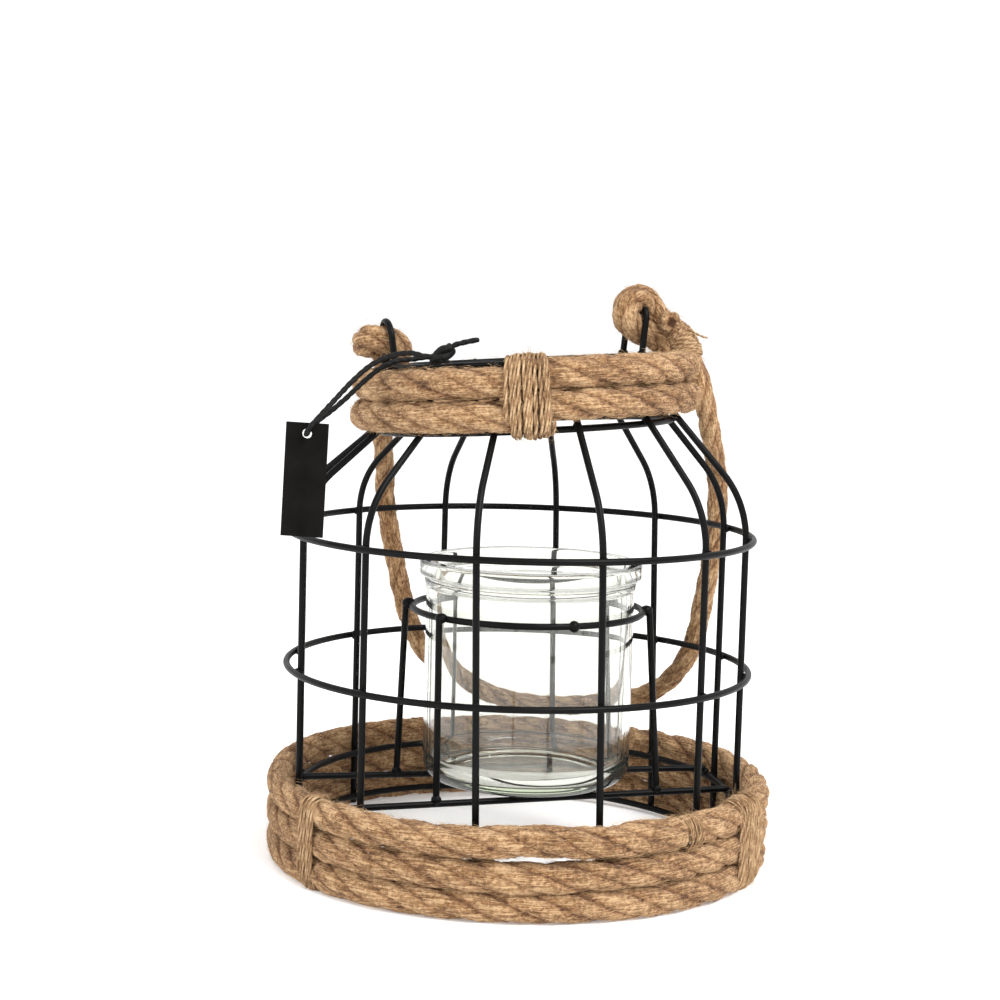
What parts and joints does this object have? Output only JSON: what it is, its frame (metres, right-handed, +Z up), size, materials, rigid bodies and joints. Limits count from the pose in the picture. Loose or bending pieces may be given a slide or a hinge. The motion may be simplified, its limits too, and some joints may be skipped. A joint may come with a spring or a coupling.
{
  "type": "hanging lantern",
  "caption": "Wire cage candle lantern bound with jute rope at foot and collar, with a lift-out glass jar, a swinging rope handle and a small hang tag",
  "frame": {"origin": "on the cage's vertical axis, level with the underside of the lowest rope turn that the lantern stands on", "axes": "+Z up along the cage's axis, -Y towards the viewer of the front with the collar's lashing, +X to the viewer's right"},
  "size_m": [0.231, 0.2326, 0.261],
  "materials": {
    "black_wire": "black lacquered mild steel wire",
    "jute_rope": "three-strand laid jute rope, hairy",
    "jute_twine": "jute twine wound side by side",
    "clear_glass": "clear glass with a green cast where it is thick",
    "black_card": "plain matt black card",
    "black_cord": "waxed black cotton cord"
  },
  "bodies": {
    "cage": {"rib_01": "black_wire", "rib_02": "black_wire", "rib_03": "black_wire", "rib_04": "black_wire", "rib_05": "black_wire", "rib_06": "black_wire", "rib_07": "black_wire", "rib_08": "black_wire", "rib_09": "black_wire", "rib_10": "black_wire", "rib_11": "black_wire", "rib_12": "black_wire", "upper_hoop": "black_wire", "lower_hoop": "black_wire", "base_ring_upper": "black_wire", "base_ring_lower": "black_wire", "top_ring": "black_wire", "collar_ring": "black_wire", "handle_eye_left": "black_wire", "handle_eye_right": "black_wire", "front_support_wire": "black_wire", "rear_support_wire": "black_wire", "holder_ring": "black_wire", "holder_upright_left": "black_wire", "holder_upright_front": "black_wire", "holder_upright_right": "black_wire", "holder_upright_rear": "black_wire", "base_rope_lower": "jute_rope", "base_rope_middle": "jute_rope", "base_rope_upper": "jute_rope", "collar_rope_lower": "jute_rope", "collar_rope_upper": "jute_rope", "base_lashing_left": "jute_twine", "base_lashing_seam": "jute_twine", "base_lashing_right": "jute_twine", "collar_lashing": "jute_twine", "handle_loop_left": "jute_rope", "handle_loop_right": "jute_rope", "handle_seizing_left": "jute_twine", "handle_seizing_right": "jute_twine", "tag_cord": "black_cord", "tag_cord_knot": "black_cord"},
    "handle": {"handle_rope": "jute_rope"},
    "jar": {"glass_jar": "clear_glass"},
    "tag": {"hang_tag": "black_card"}
  },
  "joints": [
    {"name": "handle_swing", "type": "hinge", "parent": "cage", "child": "handle", "pos_m": [-0.0681, 0.0341, 0.2301], "axis": [0.9978, 0.0647, -0.0174], "range_deg": [0, 200], "deforming": ["handle_rope"]},
    {"name": "jar_lift", "type": "slide", "parent": "cage", "child": "jar", "axis": [-0.03, -0.0233, 0.9993], "range_m": [0, 0.2]},
    {"name": "tag_swing", "type": "hinge", "parent": "cage", "child": "tag", "pos_m": [-0.0914, -0.066, 0.193], "axis": [0, 1, 0], "range_deg": [-20, 20]}
  ]
}
